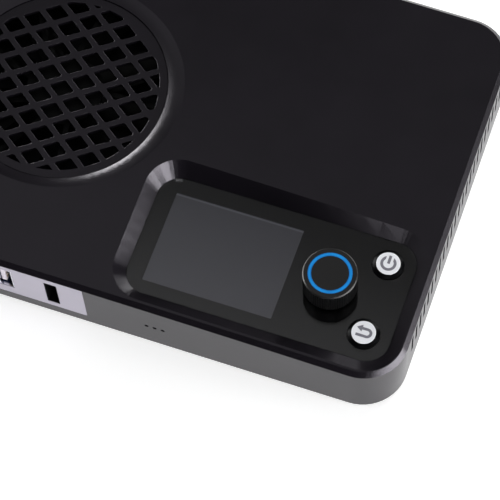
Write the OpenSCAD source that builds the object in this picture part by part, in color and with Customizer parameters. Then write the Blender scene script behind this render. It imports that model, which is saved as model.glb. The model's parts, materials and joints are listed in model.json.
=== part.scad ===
// Slim LED panel light, lying on its diffuser with the control side up.
// Millimetres. X runs along the long side, Y from the port edge to the far edge,
// Z from the diffuser up to the rear face. The origin is the middle of the base.

/* [Body] */
// Long side of the body
body_w = 306; // [300:1:312]
// Short side of the body
body_d = 152; // [150:1:156]
// Corner radius seen from the rear
corner_r = 16.5; // [15:0.5:18]
// Thickness of the outer walls
wall = 2.2; // [2:0.1:2.4]
// Width of the bevel around the rear face
edge_bevel = 1.7; // [1:0.1:1.8]
// Rise of the rear face from its rim to the fan
crown_rise = 4.56; // [4:0.1:4.8]

/* [Control panel] */
// Height of the panel glass above the base
glass_z = 24.5; // [24.3:0.1:24.8]
// Length of the panel glass
panel_w = 98.4; // [97:0.1:99]
// Depth of the panel glass
panel_d = 47.6; // [47:0.1:48]
// Width of the display picture
screen_w = 48.96; // [40:0.1:49]
// Depth of the display picture
screen_d = 36.72; // [30:0.1:37]
// Diameter of the knob
knob_dia = 19.7; // [18:0.1:20]
// Height of the knob top above the glass
knob_top = 10.8; // [10:0.1:12]
// Number of ribs around the knob
knob_ribs = 72; // [48:4:80]
// Diameter of the white button discs
disc_dia = 8.7; // [8:0.1:9.6]
// Travel of a push button
press_travel = 0.4; // [0.2:0.05:0.4]

/* [Fan] */
// Side of the square fan frame
fan_side = 80; // [78:1:80]
// Number of fan blades
blades = 9; // [7:1:11]
// Half length of one grille cell step along X
cell_x = 6.8; // [6.5:0.1:7.2]
// Half length of one grille cell step along Y
cell_y = 4.97; // [4.8:0.01:5.2]
// Share of each step that is open
cell_open = 0.74; // [0.55:0.01:0.76]

/* [Vents] */
// Slots in each short wall
vent_count = 24; // [16:2:24]
// Distance from slot to slot
vent_pitch = 4.65; // [4.5:0.05:4.7]
// Height of a slot
vent_h = 11; // [8:0.5:12]
// Width of a slot
vent_w = 1.9; // [1.5:0.1:2.2]

/* [Ports] */
// Length of the light port plate
plate_w = 72.8; // [70:0.1:74]
// Height of the port plate
plate_h = 21.15; // [20:0.05:21.2]
// Width of the accessory socket in the port plate
socket_w = 4.9; // [4.7:0.1:5]
// Height of the accessory socket in the port plate
socket_h = 15.3; // [13:0.1:15.4]

/* [Hidden] */
$fn = 64;
eps = 0.01;
half_w = body_w / 2;
half_d = body_d / 2;
inner_x = half_w - wall;
inner_y = half_d - wall;
inner_r = corner_r - wall;

// rear face: a dome over the fan that dies away towards the rim
crown_base = glass_z + 2.36;
crown_x = 140.5;
crown_y = 101;
function rear_z(x, y) =
    crown_base + crown_rise * (1 - pow(x / crown_x, 2)) * (1 - pow(y / crown_y, 2));
roof_z = 26.9;
rim_roof_z = 23.8;
high_roof_w = 190;
high_roof_d = 116;
port_roof_z = 26.5;
port_room_w = 79;
port_room_d = 19;

// control panel layout
panel_x = 97.1;
panel_y = -44.8;
panel_r = 8.5;
screen_x = 78.8;
slope_end = 4.2;
slope_side = 4.6;
glass_t = 1.2;
mask_t = 0.27;
mask_gap = 0.03;
ledge_z = glass_z - glass_t - mask_gap - mask_t;
ledge = 2;
boss_rim = 2.5;
boss_z = 20.3;
panel_gap = 0.15;
knob_x = 119.3;
knob_r = knob_dia / 2;
button_x = 136.4;
power_y = -30.5;
back_y = -58.75;
button_r = 5.7;
button_hole_r = 6;
bushing_hole_r = 4;
board_z = 16.4;
board_t = 1.6;
board_top = board_z + board_t;
control_w = 101;
control_d = 53;
standoffs = [[60, -68.85], [134, -68.85], [60, -20.75], [134, -20.75]];

// knob and encoder
shaft_r = 2.98;
shaft_hole_r = 3.03;
bushing_r = 3.5;
bushing_top = 27.5;
cap_t = 0.7;
cap_z = glass_z + knob_top - cap_t;
knob_z = glass_z + 0.8;
ring_in = 6.68;
ring_out = 7.96;
ring_t = 0.5;

// optical stack, from the diffuser up
frame_z = 0.3;
lip_z = 1.2;
stack_w = 279.6;
stack_d = 111.6;
stack_r = 6;
light_w = 272;
light_d = 104;
diffuser_top = 3.5;
frame_top = 4;
tray_top = 10.2;
led_board_top = 11.6;
sink_top = 13.6;
fin_t = 1.2;
fin_pitch = 6;
fin_rows = 18;
fin_in = 46;
fin_out = 122;
main_board_z = 18.6;
main_board_top = 20.2;
board_posts = [[-118, -49], [-52, -43], [-118, -17], [-52, -17]];
sink_bosses = [[-128, 36], [-41.5, 47], [41.5, 47], [128, 36],
    [-128, -36], [-41.5, -47], [41.5, -47]];
frame_bosses = [[-147.2, -59], [-147.2, 59], [147.2, -59], [147.2, 59],
    [-110, -70.2], [-50, -70.2], [50, -70.2], [110, -70.2],
    [-110, 70.2], [-50, 70.2], [50, 70.2], [110, 70.2]];

// fan
fan_z = 16.5;
fan_top = 25.5;
fan_bore_r = 38;
fan_hole = 35.75;
hub_r = 14.5;
blade_r = 36.9;
sleeve_r = 1.55;
fan_shaft_r = 1.5;
grille_r = 38.8;
grille_z = 26.6;
grille_top = 28.4;
grille_open_r = 35.7;
grille_shift = -1.6;
cell_blunt = 0.1;
dish_r = 47.5;
dish_edge = 16;
dish_z = 31.05;

// port edge
plate_z = 5.65;
usb_x = 5.75;
usb_z = 17.4;
usb_w = 5.7;
usb_h = 13.4;
usbc_x = -12;
usbc_z = 16.2;
usbc_r = 1.63;
usbc_h = 8.94;
dc_x = -26;
dc_z = 16.2;
dc_r = 5.2;
dc_bore_r = 3.2;
dc_pin_r = 1.25;
socket_x = 23.8;
socket_z = 16.25;
socket_lip = 0.25;
socket_wall = 0.9;
port_board_y = -58.8;
mic_x = 63.25;
mic_z = 13.7;
mic_pitch = 3.1;
mic_r = 0.8;
mount_z = 15.5;
mount_r = 3.175;
insert_r = 5;
insert_len = 12;

// colours
charcoal = [0.17, 0.165, 0.175];
black = [0.05, 0.05, 0.055];
lilac = [0.74, 0.72, 0.76];
steel = [0.66, 0.67, 0.69];
gold = [0.85, 0.68, 0.35];
pcb_green = [0.08, 0.25, 0.16];

// ---------- shared shapes ----------

// box with round vertical corners, centred on X and Y, standing on z
module slab(w, d, r, z, h) {
    translate([0, 0, z]) linear_extrude(h) union() {
        square([w - 2 * r, d], center = true);
        square([w, d - 2 * r], center = true);
        for (sx = [-1, 1], sy = [-1, 1])
            translate([sx * (w / 2 - r), sy * (d / 2 - r)]) circle(r);
    }
}

// box from x0,y0,z0 with its size
module box(x0, y0, z0, w, d, h) {
    translate([x0, y0, z0]) cube([w, d, h]);
}

// upright cylinder
module post(x, y, z, r, h) {
    translate([x, y, z]) cylinder(r = r, h = h);
}

// cylinder along +Y that starts at y
module rod_y(x, y, z, r, len) {
    translate([x, y, z]) rotate([-90, 0, 0]) cylinder(r = r, h = len);
}

// cylinder along +X that starts at x
module rod_x(x, y, z, r, len) {
    translate([x, y, z]) rotate([0, 90, 0]) cylinder(r = r, h = len);
}

// long hole along Y: wide r on both sides of x, h tall in z, with round ends
module obround_y(x, y, z, r, h, len) {
    box(x - r, y, z - h / 2 + r, 2 * r, len, h - 2 * r);
    for (s = [-1, 1]) rod_y(x, y, z + s * (h / 2 - r), r, len);
}

// outline of a rounded rectangle as points: arcs at the corners, steps on the sides
arc_steps = 12;
function corner_arc(cx, cy, r, a0) =
    [for (i = [0:arc_steps]) [cx + r * cos(a0 + 90 * i / arc_steps),
        cy + r * sin(a0 + 90 * i / arc_steps)]];
function side_steps(p, q, n) = [for (i = [1:n - 1]) p + (q - p) * i / n];
function outline(hx, hy, r, nx, ny) =
    let (cx = hx - r, cy = hy - r)
    concat(
        corner_arc(cx, cy, r, 0),
        side_steps([cx, hy], [-cx, hy], nx),
        corner_arc(-cx, cy, r, 90),
        side_steps([-hx, cy], [-hx, -cy], ny),
        corner_arc(-cx, -cy, r, 180),
        side_steps([-cx, -hy], [cx, -hy], nx),
        corner_arc(cx, -cy, r, 270),
        side_steps([hx, -cy], [hx, cy], ny));

// middle of a ring of points
function middle(ring) = [for (a = [0:2]) [for (p = ring) 1] * [for (p = ring) p[a]] / len(ring)];

// solid skinned over a stack of rings that all have the same number of points
module skin(rings) {
    n = len(rings[0]);
    last = len(rings) - 1;
    base = n * len(rings);
    polyhedron(
        points = concat([for (ring = rings) each ring], [middle(rings[0]), middle(rings[last])]),
        faces = concat(
            [for (i = [0:n - 1]) [i, (i + 1) % n, base]],
            [for (k = [0:last - 1], i = [0:n - 1])
                each [[k * n + i, (k + 1) * n + i, (k + 1) * n + (i + 1) % n],
                    [k * n + i, (k + 1) * n + (i + 1) % n, k * n + (i + 1) % n]]],
            [for (i = [0:n - 1]) [last * n + (i + 1) % n, last * n + i, base + 1]]),
        convexity = 4);
}

// ---------- housing ----------

side_nx = 14;
side_ny = 6;
foot_bevel = 0.6;
dome_steps = [1, 0.86, 0.72, 0.58, 0.44, 0.3, 0.16, 0.03];

function ring_at(inset, z) =
    [for (p = outline(half_w - inset, half_d - inset, corner_r - inset, side_nx, side_ny))
        [p[0], p[1], z]];
function dome_ring(inset, scale_by, drop) =
    [for (p = outline(half_w - inset, half_d - inset, corner_r - inset, side_nx, side_ny))
        [p[0] * scale_by, p[1] * scale_by, rear_z(p[0] * scale_by, p[1] * scale_by) - drop]];

// outer form: foot bevel, straight wall, edge bevel, domed rear face
module housing_form() {
    skin(concat(
        [ring_at(foot_bevel, 0), ring_at(0, foot_bevel), dome_ring(0, 1, edge_bevel)],
        [for (s = dome_steps) dome_ring(edge_bevel, s, 0)]));
}

// sloping sides of the panel recess, from the glass outline up past the rear face
recess_over = 1.5;
function recess_ring(grow, up) =
    [for (p = outline(panel_w / 2 + panel_gap + grow * slope_end,
            panel_d / 2 + panel_gap + grow * slope_side,
            panel_r + panel_gap + grow * slope_end, 10, 6))
        let (x = p[0] + panel_x, y = p[1] + panel_y)
        [x, y, glass_z + up * (rear_z(x, y) - glass_z)]];
module panel_recess() {
    skin([recess_ring(0, 0), recess_ring(1, 1), recess_ring(recess_over, recess_over),
        [for (p = recess_ring(recess_over, recess_over)) [p[0], p[1], 40]]]);
    translate([panel_x, panel_y, 0]) {
        slab(panel_w + 4 * panel_gap, panel_d + 4 * panel_gap, panel_r + 2 * panel_gap,
            ledge_z, glass_z - ledge_z + eps);
        slab(panel_w - 2 * ledge, panel_d - 2 * ledge, panel_r - ledge,
            boss_z - 1, ledge_z - boss_z + 2);
    }
}

// rounded edge that runs down to the grille
module fan_dish() {
    rotate_extrude($fn = 128) difference() {
        translate([0, grille_top]) square([dish_r, 40 - grille_top]);
        translate([dish_r, dish_z - dish_edge]) circle(dish_edge, $fn = 128);
    }
    post(0, 0, roof_z - 3, grille_r + 0.3, 8);
}

module cavity() {
    difference() {
        union() {
            slab(2 * inner_x, 2 * inner_y, inner_r, -1, rim_roof_z + 1);
            slab(high_roof_w, high_roof_d, inner_r, 0, roof_z);
            box(-port_room_w / 2, -inner_y, 0, port_room_w, port_room_d, port_roof_z);
        }
        translate([panel_x, panel_y, 0])
            slab(panel_w + 2 * boss_rim, panel_d + 2 * boss_rim, panel_r + boss_rim,
                boss_z, 20);
        for (p = standoffs) post(p[0], p[1], board_top, 2.2, 20);
        for (p = sink_bosses) post(p[0], p[1], sink_top, 3.2, 20);
        for (p = frame_bosses) post(p[0], p[1], frame_top + 0.1, 3.6, 30);
        box(-9, half_d - wall - insert_len + 1.2, mount_z - 8.5, 18, 20, 17);
    }
}

module vent_row() {
    for (i = [0:vent_count - 1])
        translate([0, (i - (vent_count - 1) / 2) * vent_pitch, glass_z - 7.6])
            cube([wall * 2 + 2, vent_w, vent_h], center = true);
}

module rear_housing() {
    color(charcoal) difference() {
        housing_form();
        cavity();
        panel_recess();
        fan_dish();
        translate([half_w, 0, 0]) vent_row();
        translate([-half_w, 0, 0]) vent_row();
        box(-plate_w / 2 - 0.15, -half_d - 1, plate_z - 0.1,
            plate_w + 0.3, wall + 1 + eps, plate_h + 0.2);
        for (i = [-1:1]) rod_y(mic_x + i * mic_pitch, -half_d - 1, mic_z, mic_r, wall + 2);
        rod_y(0, half_d - insert_len, mount_z, insert_r, insert_len + 1);
        for (p = standoffs) post(p[0], p[1], board_top - 1, 0.9, 3.8);
        for (p = sink_bosses) post(p[0], p[1], sink_top - 1, 1.2, 8.6);
        for (p = frame_bosses) post(p[0], p[1], frame_top - 1, 1.2, 8);
    }
}

// ---------- light side ----------

module front_frame() {
    color(black) difference() {
        slab(2 * inner_x - 0.2, 2 * inner_y - 0.2, inner_r - 0.1,
            frame_z, frame_top - frame_z);
        slab(light_w, light_d, stack_r - 2, frame_z - 1, 10);
        slab(stack_w + 0.4, stack_d + 0.4, stack_r + 0.2, lip_z, 10);
        for (p = frame_bosses) {
            post(p[0], p[1], frame_z - 1, 1.4, 10);
            post(p[0], p[1], frame_z - 1, 2.4, 2.4);
        }
    }
}

module diffuser() {
    color([0.94, 0.94, 0.92])
        slab(stack_w, stack_d, stack_r, lip_z, diffuser_top - lip_z);
}

module reflector_tray() {
    color("white") difference() {
        slab(stack_w, stack_d, stack_r, diffuser_top, tray_top - diffuser_top);
        slab(stack_w - 4, stack_d - 4, stack_r - 2, diffuser_top - 1, 12);
    }
}

module led_board() {
    color([0.9, 0.9, 0.88]) difference() {
        slab(stack_w, stack_d, stack_r, tray_top, led_board_top - tray_top);
        for (p = sink_bosses) post(p[0], p[1], tray_top - 1, 1.4, 4);
    }
}

led_step = 18;
module led_packages() {
    color([0.95, 0.85, 0.4])
        for (i = [-7:7], j = [-2.5:1:2.5])
            box(i * led_step - 1.75, j * led_step - 1.75, tray_top - 0.6, 3.5, 3.5, 0.6);
}

// height of one fin: lower where a circuit board sits above it
function fin_top(side, y) = y > -11 ? 21 : side > 0 ? 15 : 17;

module heat_sink() {
    color(steel) difference() {
        union() {
            slab(stack_w, stack_d - 4, stack_r - 2, led_board_top, sink_top - led_board_top);
            for (side = [-1, 1], i = [0:fin_rows - 1]) {
                y = (i - (fin_rows - 1) / 2) * fin_pitch;
                box(side > 0 ? fin_in : -fin_out, y - fin_t / 2, sink_top - eps,
                    fin_out - fin_in, fin_t, fin_top(side, y) - sink_top);
            }
            for (sx = [-1, 1], sy = [-1, 1])
                post(sx * fan_hole, sy * fan_hole, sink_top - eps, 3.5, fan_z - sink_top + eps);
            for (p = board_posts)
                post(p[0], p[1], sink_top - eps, 2.8, main_board_z - sink_top + eps);
        }
        for (p = sink_bosses) post(p[0], p[1], led_board_top - 1, 1.4, 4);
        for (sx = [-1, 1], sy = [-1, 1])
            post(sx * fan_hole, sy * fan_hole, led_board_top + 1, 1.4, 10);
        for (p = board_posts) post(p[0], p[1], sink_top - 1, 0.9, 10);
    }
}

// ---------- fan ----------

// one row of diamond openings; every second row is shifted by half a step
module grille_cells() {
    hx = cell_x * cell_open;
    hy = cell_y * cell_open;
    c = cell_blunt;
    for (i = [-6:6], j = [-8:8])
        if ((i + j) % 2 == 0 && norm([i * cell_x, j * cell_y + grille_shift]) < 38.4)
            translate([i * cell_x, j * cell_y + grille_shift, grille_z - 2])
                linear_extrude(6) polygon([
                    [hx * (1 - c), hy * c], [hx * c, hy * (1 - c)],
                    [-hx * c, hy * (1 - c)], [-hx * (1 - c), hy * c],
                    [-hx * (1 - c), -hy * c], [-hx * c, -hy * (1 - c)],
                    [hx * c, -hy * (1 - c)], [hx * (1 - c), -hy * c]]);
}

module fan_grille() {
    color(charcoal) {
        difference() {
            post(0, 0, grille_z, grille_r, grille_top - grille_z);
            intersection() {
                grille_cells();
                post(0, 0, grille_z - 2, grille_open_r, 8);
            }
        }
        difference() {
            post(0, 0, grille_z - 0.9, 42, 0.9 + eps);
            post(0, 0, grille_z - 2, 37, 4);
        }
    }
}

module fan_frame() {
    color(black) {
        difference() {
            slab(fan_side, fan_side, 4, fan_z, fan_top - fan_z);
            post(0, 0, fan_z - 1, fan_bore_r, 12);
            for (sx = [-1, 1], sy = [-1, 1])
                post(sx * fan_hole, sy * fan_hole, fan_z - 1, 1.9, 12);
        }
        difference() {
            union() {
                post(0, 0, fan_z, 13, 1.4);
                post(0, 0, fan_z, 4, 6);
                for (a = [45:90:315]) rotate([0, 0, a])
                    box(10, -1.5, fan_z, fan_bore_r - 8, 3, 1.2);
            }
            post(0, 0, fan_z + 0.6, 2.6, 10);
        }
    }
}

module fan_bearing() {
    color(gold) difference() {
        post(0, 0, fan_z + 0.6, 2.6, 5.4);
        post(0, 0, fan_z, sleeve_r, 10);
    }
}

module fan_shaft() {
    color(steel) post(0, 0, fan_z + 0.9, fan_shaft_r, 6.9);
}

module fan_rotor() {
    color([0.09, 0.09, 0.1]) difference() {
        union() {
            post(0, 0, fan_z + 2, hub_r, 6);
            intersection() {
                post(0, 0, fan_z + 2, blade_r, 6);
                for (i = [0:blades - 1]) rotate([0, 0, i * 360 / blades])
                    translate([hub_r - 1, 0, fan_z + 5]) rotate([38, 0, 0])
                        box(0, -6, -0.6, 26, 12, 1.2);
            }
        }
        post(0, 0, fan_z + 1, hub_r - 1.5, 6);
        post(0, 0, fan_z, fan_shaft_r, 7.8);
    }
}

module fan_screws() {
    color(steel) for (sx = [-1, 1], sy = [-1, 1]) {
        post(sx * fan_hole, sy * fan_hole, fan_top, 2.8, 1.1);
        post(sx * fan_hole, sy * fan_hole, fan_z - 2.5, 1.4, fan_top - fan_z + 3);
    }
}

// ---------- control panel ----------

// openings for the knob bushing and the two buttons
module panel_holes() {
    post(knob_x, panel_y, ledge_z - 5, bushing_hole_r, 12);
    for (y = [power_y, back_y]) post(button_x, y, ledge_z - 5, button_hole_r, 12);
}

module cover_glass() {
    color([0.1, 0.1, 0.11, 0.6]) difference() {
        translate([panel_x, panel_y, 0])
            slab(panel_w, panel_d, panel_r, glass_z - glass_t, glass_t);
        panel_holes();
    }
}

module mask_sheet() {
    color(black) difference() {
        translate([panel_x, panel_y, 0]) slab(panel_w, panel_d, panel_r, ledge_z, mask_t);
        translate([screen_x, panel_y, 0]) slab(screen_w, screen_d, 0.4, ledge_z - 1, 3);
        panel_holes();
    }
}

module display_frame() {
    color(steel) translate([screen_x, panel_y, 0]) difference() {
        slab(52.6, 40.2, 0.8, 19.6, ledge_z - 19.6);
        slab(50.8, 38.4, 0.4, 20.3, 5);
    }
}

module display_panel() {
    color([0.3, 0.31, 0.33]) translate([screen_x, panel_y, 0])
        slab(50.6, 38.2, 0.3, 20.3, ledge_z - 20.3);
}

module display_ribbon() {
    color([0.75, 0.5, 0.2]) {
        box(screen_x - 6, panel_y - 7, 19.3, 12, 14, 0.3);
        box(screen_x - 6, panel_y - 7.3, board_top, 12, 0.3, 19.6 - board_top);
    }
}

module control_board() {
    color(pcb_green) difference() {
        translate([panel_x, panel_y, 0]) slab(control_w, control_d, 8, board_z, board_t);
        for (p = standoffs) post(p[0], p[1], board_z - 1, 1.1, 4);
        for (p = frame_bosses) post(p[0], p[1], board_z - 1, 4, 4);
    }
}

module control_screws() {
    color(steel) for (p = standoffs) {
        post(p[0], p[1], board_z - 1, 1.9, 1);
        post(p[0], p[1], board_z - eps, 0.9, 4);
    }
}

module encoder_body() {
    color(black) difference() {
        box(knob_x - 6, panel_y - 6, board_top, 12, 12, 4.8);
        post(knob_x, panel_y, board_top + 0.6, 4.6, 3.6);
        post(knob_x, panel_y, board_top, shaft_hole_r + 0.4, 8);
    }
}

module encoder_bushing() {
    color(steel) difference() {
        post(knob_x, panel_y, board_top + 4.8, bushing_r, bushing_top - board_top - 4.8);
        post(knob_x, panel_y, board_top, shaft_hole_r, 20);
    }
}

plunger_z = board_top + 1.4;
module encoder_plunger() {
    color("white") post(knob_x, panel_y, plunger_z, 4.2, 1.1);
}

module encoder_shaft() {
    color(steel) difference() {
        union() {
            post(knob_x, panel_y, plunger_z + 1.15, 4.2, 1.1);
            post(knob_x, panel_y, plunger_z + 1.15, shaft_r, 12.6);
        }
        box(knob_x + 1.5, panel_y - 5, bushing_top + 0.5, 5, 10, 20);
    }
}

// ribbed outline: shallow flat-bottomed grooves between the ribs
rib_depth = 0.32;
function rib_point(k) =
    let (r = knob_r - (floor(k / 2) % 2 == 0 ? 0 : rib_depth),
        a = 360 * (k + (k % 2 == 0 ? 0.25 : -0.25)) / (4 * knob_ribs))
    [r * cos(a), r * sin(a)];

module knob_grip() {
    color(black) difference() {
        translate([knob_x, panel_y, knob_z]) linear_extrude(cap_z - knob_z)
            polygon([for (k = [0:4 * knob_ribs - 1]) rib_point(k)]);
        difference() {
            post(knob_x, panel_y, knob_z - 1, 8.2, 6.6);
            post(knob_x, panel_y, bushing_top + 0.5, 4.6, 20);
        }
        post(knob_x, panel_y, knob_z - 1, shaft_r, plunger_z + 13.76 - knob_z + 1);
    }
}

module knob_cap() {
    color(black) translate([knob_x, panel_y, cap_z]) difference() {
        union() {
            cylinder(r = knob_r, h = 0.3);
            translate([0, 0, 0.3]) cylinder(r1 = knob_r, r2 = knob_r - 0.4, h = cap_t - 0.3);
        }
        difference() {
            translate([0, 0, cap_t - ring_t]) cylinder(r = ring_out, h = 1);
            translate([0, 0, -1]) cylinder(r = ring_in, h = 3);
        }
    }
}

module knob_ring() {
    color([0.12, 0.55, 0.88]) translate([knob_x, panel_y, cap_z + cap_t - ring_t])
        difference() {
            cylinder(r = ring_out, h = ring_t + 0.03);
            translate([0, 0, -1]) cylinder(r = ring_in, h = 3);
        }
}

guide_z = 20.4;
module button_guide() {
    color(black) difference() {
        translate([button_x, panel_y, 0]) slab(14, 41.6, 5, guide_z, ledge_z - guide_z);
        for (y = [power_y, back_y]) post(button_x, y, guide_z - 1, button_r + 0.05, 6);
    }
}

switch_top = board_top + 1;
module tact_switches() {
    color(steel) for (y = [power_y, back_y]) difference() {
        box(button_x - 3, y - 3, board_top, 6, 6, 1);
        post(button_x, y, board_top + 0.3, 1.9, 2);
    }
}

// black button body with a retaining flange below the guide
disc_r = disc_dia / 2;
disc_z = glass_z + 0.7;
disc_top = glass_z + 1.5;
flange_z = guide_z - 0.8;
module button_body(y) {
    color(black) difference() {
        union() {
            post(button_x, y, flange_z, 6.6, 0.7);
            post(button_x, y, flange_z, button_r, glass_z + 0.4 - flange_z);
            translate([button_x, y, glass_z + 0.4])
                cylinder(r1 = button_r, r2 = disc_r + 0.25, h = 0.8);
        }
        post(button_x, y, disc_z, disc_r, 4);
    }
}

module stem(y) {
    color(steel) post(button_x, y, board_top + 0.75, 1.6, flange_z - board_top - 0.75);
}

// power mark: open ring with an upright bar
icon_t = 0.3;
mark_line = 1;
module power_mark(extra) {
    translate([button_x, power_y, disc_top - icon_t]) {
        difference() {
            cylinder(r = 2.9, h = icon_t + extra);
            translate([0, 0, -1]) cylinder(r = 2.9 - mark_line, h = 4);
            translate([-1.4, 0, -1]) cube([2.8, 5, 4]);
        }
        translate([-mark_line / 2, -0.1, 0]) cube([mark_line, 3.2, icon_t + extra]);
    }
}

// return mark: two bars joined by a half ring, with an arrow head to the left
module back_mark(extra) {
    turn_r = 1.4;
    bar = mark_line;
    translate([button_x + 0.2, back_y, disc_top - icon_t]) {
        intersection() {
            difference() {
                translate([1, 0, 0]) cylinder(r = turn_r + bar / 2, h = icon_t + extra);
                translate([1, 0, -1]) cylinder(r = turn_r - bar / 2, h = 4);
            }
            translate([1, -3, -1]) cube([5, 6, 4]);
        }
        translate([-2.8, -turn_r - bar / 2, 0]) cube([3.8 + eps, bar, icon_t + extra]);
        translate([-1.2, turn_r - bar / 2, 0]) cube([2.2 + eps, bar, icon_t + extra]);
        linear_extrude(icon_t + extra)
            polygon([[-3.1, turn_r], [-1.1, turn_r + 1.3], [-1.1, turn_r - 1.3]]);
    }
}

icon_proud = 0.03;
module button_disc(y) {
    color("white") difference() {
        post(button_x, y, disc_z, disc_r, disc_top - disc_z);
        power_mark(1);
        back_mark(1);
    }
}

module power_button() { button_body(power_y); }
module power_disc() { button_disc(power_y); }
module power_icon() { color([0.5, 0.5, 0.52]) power_mark(icon_proud); }
module power_stem() { stem(power_y); }
module back_button() { button_body(back_y); }
module back_disc() { button_disc(back_y); }
module back_icon() { color([0.5, 0.5, 0.52]) back_mark(icon_proud); }
module back_stem() { stem(back_y); }

// ---------- port edge ----------

plate_back = -half_d + wall + 1.2;
module port_plate() {
    color(lilac) difference() {
        union() {
            box(-plate_w / 2, -half_d, plate_z, plate_w, wall + eps, plate_h);
            box(-38.5, -half_d + wall, 4.6, 77, 1.2, 21.8);
        }
        box(usb_x - usb_w / 2 - 0.05, -half_d - 1, usb_z - usb_h / 2 - 0.05,
            usb_w + 0.1, 6, usb_h + 0.1);
        box(socket_x - socket_w / 2 - 0.05, -half_d - 1, socket_z - socket_h / 2 - 0.05,
            socket_w + 0.1, 6, socket_h + 0.1);
        obround_y(usbc_x, -half_d - 1, usbc_z, usbc_r + 0.05, usbc_h + 0.1, 6);
        rod_y(dc_x, -half_d - 1, dc_z, dc_r + 0.05, 6);
    }
}

module port_board() {
    color(pcb_green) box(-37, port_board_y, 5, 74, 1.6, 21);
}

shell_t = 0.35;
usb_front = -half_d + 0.15;
usb_deep = 14;
module usb_a_shell() {
    color(steel) difference() {
        box(usb_x - usb_w / 2, usb_front, usb_z - usb_h / 2, usb_w, usb_deep, usb_h);
        box(usb_x - usb_w / 2 + shell_t, usb_front - 1, usb_z - usb_h / 2 + shell_t,
            usb_w - 2 * shell_t, usb_deep + 2, usb_h - 2 * shell_t);
    }
}

tongue_x = usb_x - usb_w / 2 + 0.5;
tongue_t = 1.84;
module usb_a_tongue() {
    color([0.93, 0.88, 0.9]) {
        box(tongue_x, usb_front + 1.4, usb_z - 5.55, tongue_t, usb_deep - 1.4 + eps, 11.1);
        box(usb_x - 2.4, usb_front + usb_deep, usb_z - 6.2, 4.8,
            port_board_y - usb_front - usb_deep, 12.4);
    }
}

module usb_a_contacts() {
    color(gold) for (dz = [-3.5, -1, 1, 3.5])
        box(tongue_x + tongue_t, usb_front + 2, usb_z + dz - 0.5, 0.15, 9, 1);
}

usbc_deep = 9;
module usb_c_shell() {
    color(steel) difference() {
        obround_y(usbc_x, usb_front, usbc_z, usbc_r, usbc_h, usbc_deep);
        obround_y(usbc_x, usb_front - 1, usbc_z, usbc_r - 0.32, usbc_h - 0.64, usbc_deep + 2);
    }
}

module usb_c_tongue() {
    color(black) {
        box(usbc_x - 0.35, usb_front + 1, usbc_z - 3.3, 0.7, usbc_deep - 1 + eps, 6.6);
        box(usbc_x - 1.2, usb_front + usbc_deep, usbc_z - 3.6, 2.4,
            port_board_y - usb_front - usbc_deep, 7.2);
    }
}

module dc_jack() {
    color(black) difference() {
        union() {
            rod_y(dc_x, usb_front, dc_z, dc_r, 11);
            box(dc_x - 5.2, plate_back + 0.1, dc_z - 5.2, 10.4,
                port_board_y - plate_back - 0.1, 10.4);
        }
        rod_y(dc_x, usb_front - 1, dc_z, dc_bore_r, 11);
    }
}

module dc_pin() {
    color(steel) rod_y(dc_x, usb_front + 1.5, dc_z, dc_pin_r, 8.5);
}

// narrow sleeve through the port plate, with a thicker housing behind it
module accessory_socket() {
    outer_w = socket_w + 2 * socket_wall;
    outer_h = socket_h + 2 * socket_wall;
    mouth_w = socket_w - 2 * socket_lip;
    mouth_h = socket_h - 2 * socket_lip;
    color(black) difference() {
        union() {
            box(socket_x - socket_w / 2, usb_front, socket_z - socket_h / 2,
                socket_w, 6, socket_h);
            box(socket_x - outer_w / 2, plate_back, socket_z - outer_h / 2,
                outer_w, 9.4, outer_h);
        }
        box(socket_x - mouth_w / 2, -half_d - 1, socket_z - mouth_h / 2,
            mouth_w, 12, mouth_h);
    }
}

module microphone() {
    color(pcb_green) box(mic_x - 7, -half_d + wall + 1.2, mic_z - 4, 14, 1.2, 8);
    color(steel) box(mic_x - 4, -half_d + wall + 0.05, mic_z - 1.6, 8, 1.15 + eps, 3.2);
}

// ---------- electronics behind the fan ----------

module main_board() {
    color(pcb_green) difference() {
        box(-122, -53, main_board_z, 74, 40, main_board_top - main_board_z);
        for (p = board_posts) post(p[0], p[1], main_board_z - 1, 1.1, 4);
    }
}

module coils() {
    color([0.25, 0.25, 0.27]) for (i = [0:2])
        box(-110 + i * 13, -45, main_board_top, 10, 10, 3.2);
}

module capacitors() {
    color(steel) for (i = [0:4]) post(-104 + i * 9, -26, main_board_top, 3.1, 3.2);
}

module wireless_module() {
    color([0.75, 0.76, 0.78]) box(-69, -47, main_board_top, 12, 16, 2.2);
}

wire_y = -51.4;
wire_r = 0.6;
module power_harness() {
    color([0.85, 0.85, 0.82]) {
        box(-54, -53, main_board_top, 6, 4, 3.4);
        box(-34, port_board_y + 1.6, 19.6, 6, 7.4, 5);
    }
    color([0.7, 0.1, 0.1]) for (z = [21.2, 22.7]) rod_x(-49, wire_y, z, wire_r, 16);
}

module fan_lead() {
    color(black) {
        rod_x(-49, -35, main_board_top + 1.6, 0.9, 9 + eps);
        post(-49, -35, main_board_top, 0.9, 2.5);
    }
}

// ---------- fasteners and mount ----------

module mount_insert() {
    color(gold) difference() {
        rod_y(0, half_d - insert_len, mount_z, insert_r, insert_len);
        rod_y(0, half_d - insert_len + 2, mount_z, mount_r, insert_len);
    }
}

module frame_screws() {
    color(steel) for (p = frame_bosses) {
        difference() {
            post(p[0], p[1], frame_z + 0.2, 2.1, 1.2);
            post(p[0], p[1], frame_z - 1, 0.9, 2, $fn = 6);
        }
        post(p[0], p[1], frame_z + 1.3, 1.2, 9);
    }
}

module sink_screws() {
    color(steel) for (p = sink_bosses) {
        post(p[0], p[1], tray_top - 1.2, 2.3, 1.2);
        post(p[0], p[1], tray_top - eps, 1.2, 9);
    }
}

module board_screws() {
    color(steel) for (p = board_posts) {
        post(p[0], p[1], main_board_top, 1.8, 1);
        post(p[0], p[1], main_board_top - 5, 0.9, 5 + eps);
    }
}

// ---------- assembly ----------

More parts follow.
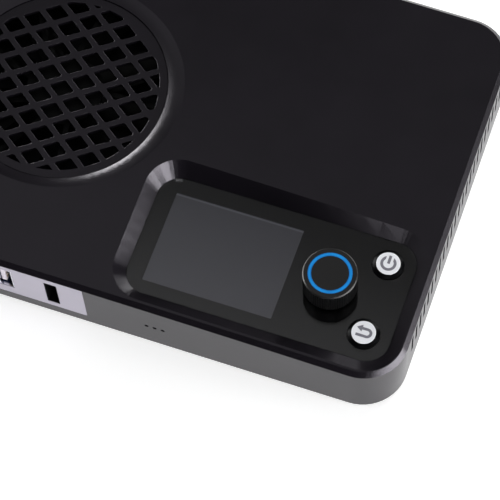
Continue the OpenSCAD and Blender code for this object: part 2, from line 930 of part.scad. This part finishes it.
rear_housing();
front_frame();
diffuser();
reflector_tray();
led_board();
led_packages();
heat_sink();
fan_grille();
fan_frame();
fan_bearing();
fan_screws();
fan_rotor();
fan_shaft();
cover_glass();
mask_sheet();
display_frame();
display_panel();
display_ribbon();
control_board();
control_screws();
encoder_body();
encoder_bushing();
encoder_plunger();
encoder_shaft();
knob_grip();
knob_cap();
knob_ring();
button_guide();
tact_switches();
power_button();
power_disc();
power_icon();
power_stem();
back_button();
back_disc();
back_icon();
back_stem();
port_plate();
port_board();
usb_a_shell();
usb_a_tongue();
usb_a_contacts();
usb_c_shell();
usb_c_tongue();
dc_jack();
dc_pin();
accessory_socket();
microphone();
main_board();
coils();
capacitors();
wireless_module();
power_harness();
fan_lead();
mount_insert();
frame_screws();
sink_screws();
board_screws();
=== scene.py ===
"""Looks for the slim LED panel light: materials, shading, floor, lights and camera."""

import json
import math

import bpy
from mathutils import Matrix, Vector


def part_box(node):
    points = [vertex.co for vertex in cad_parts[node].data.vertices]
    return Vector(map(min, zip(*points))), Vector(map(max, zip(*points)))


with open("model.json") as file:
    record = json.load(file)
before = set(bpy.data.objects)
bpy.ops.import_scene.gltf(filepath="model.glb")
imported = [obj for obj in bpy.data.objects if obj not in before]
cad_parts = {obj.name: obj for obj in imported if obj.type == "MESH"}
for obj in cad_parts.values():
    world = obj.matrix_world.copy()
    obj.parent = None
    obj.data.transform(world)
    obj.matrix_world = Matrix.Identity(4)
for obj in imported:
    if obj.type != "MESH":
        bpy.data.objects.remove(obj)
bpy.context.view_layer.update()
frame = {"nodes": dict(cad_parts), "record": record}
nodes = frame["nodes"]

# Camera: it looks at the control panel from the front right, high up
GLASS_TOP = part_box("cover_glass")[1].z
TARGET = Vector((0.0875, -0.0405, GLASS_TOP))
DISTANCE = 0.848
AZIMUTH = math.radians(23.37)
ELEVATION = math.radians(64.45)
ROLL = math.radians(-4.43)
LENS = 170.0
CLIP_NEAR, CLIP_FAR = 0.05, 20


# ---------- node helpers ----------

def set_stops(ramp, stops, tint=(1, 1, 1)):
    """Fills a colour ramp with (place, level) stops, each level times the tint."""
    elements = ramp.color_ramp.elements
    while len(elements) < len(stops):
        elements.new(0.5)
    for element, (place, level) in zip(elements, stops):
        element.position = place
        element.color = (*[level * t for t in tint], 1)


class Shader:
    """A material with a Principled shader, and short calls for the nodes that drive it."""

    def __init__(self, name):
        self.material = bpy.data.materials.new(name)
        self.material.use_nodes = True
        self.tree = self.material.node_tree
        self.bsdf = self.tree.nodes["Principled BSDF"]
        self.out = self.tree.nodes["Material Output"]
        self.coords = self.node("ShaderNodeTexCoord")

    def node(self, kind, **settings):
        made = self.tree.nodes.new(kind)
        for key, value in settings.items():
            setattr(made, key, value)
        return made

    def link(self, source, target):
        self.tree.links.new(source, target)

    def place(self, scale=(1, 1, 1)):
        """Object coordinates in metres, scaled."""
        mapping = self.node("ShaderNodeMapping")
        mapping.inputs["Scale"].default_value = scale
        self.link(self.coords.outputs["Object"], mapping.inputs["Vector"])
        return mapping.outputs["Vector"]

    def noise(self, size, detail=2.0, vector=None):
        """Noise whose blobs are about size metres across."""
        made = self.node("ShaderNodeTexNoise")
        made.inputs["Scale"].default_value = 1 / size
        made.inputs["Detail"].default_value = detail
        self.link(vector or self.place(), made.inputs["Vector"])
        return made.outputs["Fac"]

    def ramp(self, factor, low, high, dark, light):
        """Colour from dark to light as the factor goes from low to high."""
        made = self.node("ShaderNodeValToRGB")
        made.color_ramp.elements[0].position = low
        made.color_ramp.elements[1].position = high
        made.color_ramp.elements[0].color = (*dark, 1)
        made.color_ramp.elements[1].color = (*light, 1)
        self.link(factor, made.inputs["Fac"])
        return made.outputs["Color"]

    def steps(self, factor, stops, tint=(1, 1, 1)):
        """Tinted grey that follows the stops as the factor goes from 0 to 1."""
        made = self.node("ShaderNodeValToRGB")
        set_stops(made, stops, tint)
        self.link(factor, made.inputs["Fac"])
        return made.outputs["Color"]

    def span(self, factor, low, high):
        """A 0 to 1 factor stretched to run from low to high."""
        made = self.node("ShaderNodeMapRange")
        made.inputs["To Min"].default_value = low
        made.inputs["To Max"].default_value = high
        self.link(factor, made.inputs["Value"])
        return made.outputs["Result"]

    def between(self, value, low, high):
        """A 0 to 1 factor as the value goes from low to high."""
        made = self.node("ShaderNodeMapRange")
        made.inputs["From Min"].default_value = low
        made.inputs["From Max"].default_value = high
        self.link(value, made.inputs["Value"])
        return made.outputs["Result"]

    def along_y(self, low, high):
        """A 0 to 1 factor from one Y of the object to another, in metres."""
        parts = self.node("ShaderNodeSeparateXYZ")
        self.link(self.coords.outputs["Object"], parts.inputs["Vector"])
        return self.between(parts.outputs["Y"], low, high)

    def bump(self, height, depth, before=None):
        """Surface relief of that depth in metres, on top of an earlier normal if given."""
        made = self.node("ShaderNodeBump")
        made.inputs["Distance"].default_value = depth
        made.inputs["Strength"].default_value = 1.0
        self.link(height, made.inputs["Height"])
        if before is not None:
            self.link(before, made.inputs["Normal"])
        self.link(made.outputs["Normal"], self.bsdf.inputs["Normal"])

    def soften(self, radius):
        """Rounds the look of sharp edges by that radius in metres."""
        made = self.node("ShaderNodeBevel", samples=4)
        made.inputs["Radius"].default_value = radius
        return made.outputs["Normal"]

    def set(self, **values):
        for key, value in values.items():
            self.bsdf.inputs[key.replace("_", " ")].default_value = value


# Clouds in a moulded plastic's colour and gloss, in metres, and how far its gloss varies
COLOUR_CLOUD = 0.03
GLOSS_CLOUD = 0.012
GLOSS_VARIES = 0.15


def moulded(name, colour, rough, grain=0.0004, relief=0.000012, vary=0.25, sheen=0.5,
            edge=0.00015):
    """Injection-moulded plastic: fine spark-eroded grain, cloudy colour and gloss.

    grain, relief and edge are in metres. Without relief the surface is quite even.
    """
    s = Shader(name)
    cloud = s.noise(COLOUR_CLOUD, detail=4)
    dark = [c * (1 - vary) for c in colour]
    light = [c * (1 + vary) for c in colour]
    s.link(s.ramp(cloud, 0.3, 0.7, dark, light), s.bsdf.inputs["Base Color"])
    smear = s.noise(GLOSS_CLOUD, detail=3)
    gloss = s.span(smear, rough * (1 - GLOSS_VARIES), rough * (1 + GLOSS_VARIES))
    s.link(gloss, s.bsdf.inputs["Roughness"])
    if relief:
        s.bump(s.noise(grain), relief, before=s.soften(edge) if edge else None)
    s.set(Specular_IOR_Level=sheen)
    return s


# Lines on drawn or turned metal: their size before stretching, and their depth, in metres
METAL_LINE = 0.006
METAL_RELIEF = 0.000004


def metal(name, colour, rough, stretch=(1, 1, 60)):
    """Drawn or turned metal with fine lines, packed along the stretched axis."""
    s = Shader(name)
    s.set(Metallic=1.0)
    lines = s.noise(METAL_LINE, detail=4, vector=s.place(scale=stretch))
    dark = [c * 0.86 for c in colour]
    s.link(s.ramp(lines, 0.35, 0.65, dark, colour), s.bsdf.inputs["Base Color"])
    s.link(s.span(lines, rough * 0.7, rough * 1.3), s.bsdf.inputs["Roughness"])
    s.bump(lines, METAL_RELIEF)
    return s


# ---------- materials ----------

def housing_material(name, edge):
    """Black plastic with a violet cast and a plain satin shine."""
    s = moulded(name, (0.0050, 0.0042, 0.0060), 0.25, grain=0.00055,
                relief=0.00003, vary=0.18, edge=edge)
    s.bsdf.inputs["Specular Tint"].default_value = (1.0, 0.95, 1.06, 1)
    s.set(Specular_IOR_Level=0.36)
    return s.material


GLASS_TINT = (0.80, 0.80, 0.82, 1)
GLASS_ROUGHNESS = 0.012
GLASS_IOR = 1.5


def glass_material():
    """Tinted cover glass: it reflects by angle and shows what is below."""
    s = Shader("cover_glass")
    s.tree.nodes.remove(s.bsdf)
    clear = s.node("ShaderNodeBsdfTransparent")
    clear.inputs["Color"].default_value = GLASS_TINT
    shine = s.node("ShaderNodeBsdfGlossy")
    shine.inputs["Roughness"].default_value = GLASS_ROUGHNESS
    angle = s.node("ShaderNodeFresnel")
    angle.inputs["IOR"].default_value = GLASS_IOR
    both = s.node("ShaderNodeMixShader")
    s.link(angle.outputs["Fac"], both.inputs["Fac"])
    s.link(clear.outputs["BSDF"], both.inputs[1])
    s.link(shine.outputs["BSDF"], both.inputs[2])
    s.link(both.outputs["Shader"], s.out.inputs["Surface"])
    return s.material


# How light the display is painted from its near side (0) to its far side (1): painted light
# makes the near side lighter, and a painted highlight runs along the far edge
DISPLAY_PAINTED_LIGHT = [(0.0, 0.33), (0.955, 0.27), (0.965, 0.60), (0.975, 0.27)]
DISPLAY_TINT = (1, 1.01, 1.08)


def display_material():
    """Switched-off display: grey, painted lighter at the near side, with a painted highlight
    along the far edge.
    """
    s = Shader("display")
    low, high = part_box("display_panel")
    # Painted light: a lighter near side and a painted highlight line at the far edge
    grey = s.steps(s.along_y(low.y, high.y), DISPLAY_PAINTED_LIGHT, DISPLAY_TINT)
    s.link(grey, s.bsdf.inputs["Base Color"])
    grain = s.noise(0.0002)
    s.link(s.span(grain, 0.5, 0.6), s.bsdf.inputs["Roughness"])
    return s.material


# Width of the light ring, and how strongly it glows from its inner to its outer edge
RING_WIDTH = 0.00128
RING_GLOW = [(0.0, 0.05), (0.55, 0.46), (1.0, 0.10)]


def ring_material():
    """Blue light ring: translucent plastic that glows, most of all along its middle."""
    s = Shader("knob_ring")
    cloud = s.noise(0.004, detail=3)
    low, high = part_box("knob_ring")
    outer = (high.x - low.x) / 2
    from_axis = s.node("ShaderNodeVectorMath", operation="DISTANCE")
    s.link(s.coords.outputs["Object"], from_axis.inputs[0])
    from_axis.inputs[1].default_value = ((low.x + high.x) / 2, (low.y + high.y) / 2, high.z)
    across = s.between(from_axis.outputs["Value"], outer - RING_WIDTH, outer)
    s.link(s.steps(across, RING_GLOW), s.bsdf.inputs["Emission Strength"])
    s.link(s.ramp(cloud, 0.3, 0.7, (0.004, 0.10, 0.34), (0.006, 0.14, 0.42)),
           s.bsdf.inputs["Base Color"])
    s.link(s.ramp(cloud, 0.3, 0.7, (0.003, 0.28, 0.66), (0.004, 0.33, 0.76)),
           s.bsdf.inputs["Emission Color"])
    s.set(Roughness=0.35, Specular_IOR_Level=0.25)
    return s.material


def opal_material():
    """Milky acrylic sheet with fine frosting."""
    s = moulded("opal", (0.86, 0.86, 0.84), 0.42, grain=0.0005, relief=0.00001, vary=0.02)
    s.set(Subsurface_Weight=0.3, Subsurface_Scale=0.003)
    return s.material


# Tracks on a circuit board: rows of them per metre, their share of a row, their height
TRACK_ROWS = 220
TRACK_WIDTH = 0.03
TRACK_RELIEF = 0.00002


def board_material(name, base, trace):
    """Circuit board: solder mask with copper tracks showing through."""
    s = Shader(name)
    brick = s.node("ShaderNodeTexBrick")
    brick.inputs["Scale"].default_value = TRACK_ROWS
    brick.inputs["Mortar Size"].default_value = TRACK_WIDTH
    brick.inputs["Color1"].default_value = (*base, 1)
    brick.inputs["Color2"].default_value = (*[c * 0.85 for c in base], 1)
    brick.inputs["Mortar"].default_value = (*trace, 1)
    s.link(s.place(), brick.inputs["Vector"])
    s.link(brick.outputs["Color"], s.bsdf.inputs["Base Color"])
    cloud = s.noise(0.01)
    s.link(s.span(cloud, 0.3, 0.45), s.bsdf.inputs["Roughness"])
    s.bump(brick.outputs["Fac"], TRACK_RELIEF)
    return s.material


# Painted shade: the sockets darken with depth behind the rim of the upright one, in metres
SOCKET_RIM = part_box("usb_a_shell")[0].y
SHELL_PAINTED_SHADE_BY = 0.002
TONGUE_PAINTED_SHADE_FROM, TONGUE_PAINTED_SHADE_BY = 0.0015, 0.0065


def usb_shell_material():
    """Bright nickel rim; further inside the socket painted shade darkens the shell to a dark
    blue.
    """
    s = metal("shell_nickel", (0.72, 0.73, 0.76), 0.16, stretch=(60, 1, 1))
    # Painted shade: the nickel turns dark blue with depth into the socket
    depth = s.along_y(SOCKET_RIM, SOCKET_RIM + SHELL_PAINTED_SHADE_BY)
    s.link(s.ramp(depth, 0.1, 0.5, (0.72, 0.74, 0.80), (0.016, 0.030, 0.075)),
           s.bsdf.inputs["Base Color"])
    return s.material


def usb_tongue_material():
    """Pale tongue that carries the contacts, on a block at the back; painted shade darkens
    both to a dark blue with depth into the socket.
    """
    s = moulded("port_tongue", (0.72, 0.66, 0.72), 0.4, vary=0.04)
    # Painted shade: the tongue and its block darken to a dark blue with depth into the
    # socket
    depth = s.along_y(SOCKET_RIM + TONGUE_PAINTED_SHADE_FROM, SOCKET_RIM + TONGUE_PAINTED_SHADE_BY)
    s.link(s.ramp(depth, 0.2, 0.9, (0.72, 0.66, 0.72), (0.004, 0.008, 0.022)),
           s.bsdf.inputs["Base Color"])
    return s.material


def make_materials():
    """Each material by name. Colours are linear, and the number after one is a roughness."""
    return {
        "housing_plastic": housing_material("housing", 0),
        "grille_plastic": housing_material("grille", 0.0003),
        "black_plastic": moulded("black_plastic", (0.0025, 0.0025, 0.003), 0.40,
                                 sheen=0.42, edge=0.00006).material,
        "fan_black": moulded("fan_black", (0.0012, 0.0012, 0.0014), 0.5,
                             sheen=0.12).material,
        "glossy_black": moulded("glossy_black", (0.0012, 0.0012, 0.0016), 0.30,
                                relief=0.000001, sheen=0.05, edge=0).material,
        "mask_black": moulded("mask_black", (0.0012, 0.0012, 0.0015), 0.6,
                              relief=0, sheen=0.05).material,
        "grip_black": moulded("grip_black", (0.0018, 0.0018, 0.002), 0.34, sheen=0.2,
                              edge=0).material,
        # The heat sink is painted near black: painted shade for the inside of the housing
        # seen through the grille
        "painted_shade_metal": metal("painted_shade_metal", (0.012, 0.012, 0.014), 0.5,
                               stretch=(1, 60, 1)).material,
        "port_plastic": moulded("port_plastic", (0.345, 0.325, 0.385), 0.45, vary=0.05,
                                relief=0.00001).material,
        "white_plastic": moulded("white_plastic", (0.84, 0.85, 0.89), 0.38, vary=0.03,
                                 relief=0.000004).material,
        "icon_grey": moulded("icon_grey", (0.18, 0.18, 0.21), 0.5, vary=0.05).material,
        "ring_blue": ring_material(),
        "opal": opal_material(),
        "cover_glass": glass_material(),
        "display_grey": display_material(),
        "aluminium_part": metal("aluminium_part", (0.62, 0.63, 0.65), 0.38,
                                stretch=(1, 60, 1)).material,
        "steel_part": metal("steel_part", (0.50, 0.50, 0.51), 0.32).material,
        "shell_nickel": usb_shell_material(),
        "brass_part": metal("brass_part", (0.62, 0.45, 0.18), 0.3,
                            stretch=(1, 60, 1)).material,
        "gold_contact": metal("gold_contact", (0.90, 0.66, 0.28), 0.2,
                              stretch=(1, 60, 1)).material,
        "circuit_board": board_material("circuit_board", (0.010, 0.055, 0.030),
                                        (0.030, 0.120, 0.060)),
        "white_board": board_material("white_board", (0.78, 0.78, 0.76),
                                      (0.66, 0.66, 0.62)),
        "chip_yellow": moulded("chip_yellow", (0.80, 0.60, 0.08), 0.35, vary=0.06).material,
        "port_tongue": usb_tongue_material(),
        "ribbon": moulded("ribbon", (0.35, 0.17, 0.03), 0.3, vary=0.08).material,
    }


# Nodes whose look differs from the rest of their slot
OWN_LOOK = {"fan_rotor": "fan_black", "fan_frame": "fan_black",
            "accessory_socket": "fan_black", "fan_lead": "fan_black",
            "heat_sink": "painted_shade_metal", "mask_sheet": "mask_black",
            "fan_grille": "grille_plastic", "knob_grip": "grip_black"}


def paint_nodes(materials):
    """Every CAD node takes its own look, or the material of its slot in the record."""
    for part in frame["record"]["subparts"]:
        name = part["node"]
        mesh = nodes[name].data
        mesh.materials.clear()
        mesh.materials.append(materials[OWN_LOOK.get(name, part["material_slot"])])


# ---------- shading of the CAD nodes ----------

WELD_DISTANCE = 0.000002
SMOOTH_ANGLE = math.radians(22)
# The domed housing has no real crease under this angle, and its dish meets it almost flat
HOUSING_ANGLE = math.radians(9)


def smooth_nodes():
    """Welds each node's faces together and shades it smooth up to a crease angle."""
    for name, node in nodes.items():
        weld = node.modifiers.new("weld", "WELD")
        weld.merge_threshold = WELD_DISTANCE
        node.data.shade_smooth()
        split = node.modifiers.new("creases", "EDGE_SPLIT")
        split.split_angle = HOUSING_ANGLE if name == "rear_housing" else SMOOTH_ANGLE
        split.use_edge_sharp = False
        even = node.modifiers.new("large_faces_lead", "WEIGHTED_NORMAL")
        even.mode = "FACE_AREA"
        even.weight = 100


# ---------- floor, lights and camera ----------

FLOOR_SIZE = 8
FLOOR_GLOW = 0.46


def make_floor():
    """Plain pale floor that can't be seen from below, so that the light side shows."""
    bpy.ops.mesh.primitive_plane_add(size=FLOOR_SIZE, location=(0, 0, 0))
    floor = bpy.context.object
    floor.name = "floor"
    s = Shader("floor")
    cloud = s.noise(0.4)
    s.link(s.ramp(cloud, 0.3, 0.7, (0.80, 0.80, 0.80), (0.82, 0.82, 0.82)),
           s.bsdf.inputs["Base Color"])
    s.set(Roughness=0.8, Emission_Color=(1, 1, 1, 1), Emission_Strength=FLOOR_GLOW)
    side = s.node("ShaderNodeNewGeometry")
    clear = s.node("ShaderNodeBsdfTransparent")
    both = s.node("ShaderNodeMixShader")
    s.link(side.outputs["Backfacing"], both.inputs["Fac"])
    s.link(s.bsdf.outputs["BSDF"], both.inputs[1])
    s.link(clear.outputs["BSDF"], both.inputs[2])
    s.link(both.outputs["Shader"], s.out.inputs["Surface"])
    floor.data.materials.append(s.material)


# Ceiling: how bright it is by the Y part of the direction, and by its height
CEILING_BY_Y = [(-1.0, 0.03), (-0.62, 0.05), (-0.25, 0.45), (0.10, 0.58), (0.365, 0.58),
                (0.41, 0.24), (1.0, 0.12)]
CEILING_BY_Z = [(-0.03, 1.5), (0.0, 0.25), (0.62, 0.28), (0.84, 1.0), (1.0, 1.0)]


def sky_ramp(tree, part, stops):
    """Brightness that follows one part of the direction, which runs from -1 to 1."""
    stretch = tree.nodes.new("ShaderNodeMapRange")
    stretch.inputs["From Min"].default_value = -1
    stretch.inputs["From Max"].default_value = 1
    tree.links.new(part, stretch.inputs["Value"])
    ramp = tree.nodes.new("ShaderNodeValToRGB")
    set_stops(ramp, [((value + 1) / 2, level) for value, level in stops])
    tree.links.new(stretch.outputs["Result"], ramp.inputs["Fac"])
    return ramp.outputs["Color"]


def make_world():
    """Soft ceiling, darkest at the near side and dim low down, and a bright space below."""
    world = bpy.data.worlds.new("studio")
    bpy.context.scene.world = world
    world.use_nodes = True
    tree = world.node_tree
    back = tree.nodes["Background"]
    coords = tree.nodes.new("ShaderNodeTexCoord")
    parts = tree.nodes.new("ShaderNodeSeparateXYZ")
    tree.links.new(coords.outputs["Generated"], parts.inputs["Vector"])
    both = tree.nodes.new("ShaderNodeMix")
    both.data_type = "RGBA"
    both.blend_type = "MULTIPLY"
    # A Mix node names its sockets alike for every data type, so these go by number
    both.inputs[0].default_value = 1.0
    tree.links.new(sky_ramp(tree, parts.outputs["Y"], CEILING_BY_Y), both.inputs[6])
    tree.links.new(sky_ramp(tree, parts.outputs["Z"], CEILING_BY_Z), both.inputs[7])
    tree.links.new(both.outputs[2], back.inputs["Color"])
    back.inputs["Strength"].default_value = 1.0


# Each light: its place, the point it faces, its width and height in metres, its brightness
SOFTBOXES = {
    "left_strip": ((-1.25, 0.50, 0.20), (0, 0.3, 0), 2.2, 0.32, 19.5),
    "right_strip": ((1.25, -0.42, 0.22), (0, -0.1, 0), 1.7, 0.42, 14.5),
    "back_box": ((0.50, 1.35, 0.45), (0, 0, 0), 0.8, 0.5, 11.0),
    "key_box": ((0.30, -0.90, 1.20), (0.05, 0, 0), 0.6, 0.6, 2.2),
}


def make_lights():
    """A long low strip box at each side, a box behind and a soft one high in front."""
    for name, (place, aim, width, height, radiance) in SOFTBOXES.items():
        data = bpy.data.lights.new(name, "AREA")
        data.shape = "RECTANGLE"
        data.size = width
        data.size_y = height
        data.energy = radiance * math.pi * width * height
        light = bpy.data.objects.new(name, data)
        light.location = place
        facing = Vector(aim) - Vector(place)
        light.rotation_euler = facing.to_track_quat("-Z", "Y").to_euler()
        bpy.context.scene.collection.objects.link(light)


def make_camera():
    back = Vector((math.sin(AZIMUTH) * math.cos(ELEVATION),
                   -math.cos(AZIMUTH) * math.cos(ELEVATION),
                   math.sin(ELEVATION)))
    data = bpy.data.cameras.new("camera")
    data.lens = LENS
    data.sensor_width = 36
    data.clip_start = CLIP_NEAR
    data.clip_end = CLIP_FAR
    camera = bpy.data.objects.new("camera", data)
    level = (-back).to_track_quat("-Z", "Y").to_matrix().to_4x4()
    camera.matrix_world = (Matrix.Translation(TARGET + back * DISTANCE)
                           @ level @ Matrix.Rotation(ROLL, 4, "Z"))
    bpy.context.scene.collection.objects.link(camera)
    bpy.context.scene.camera = camera
    bpy.context.scene.view_settings.view_transform = "Standard"


# ---------- build ----------

make_camera()
make_world()
make_lights()
make_floor()
paint_nodes(make_materials())
smooth_nodes()
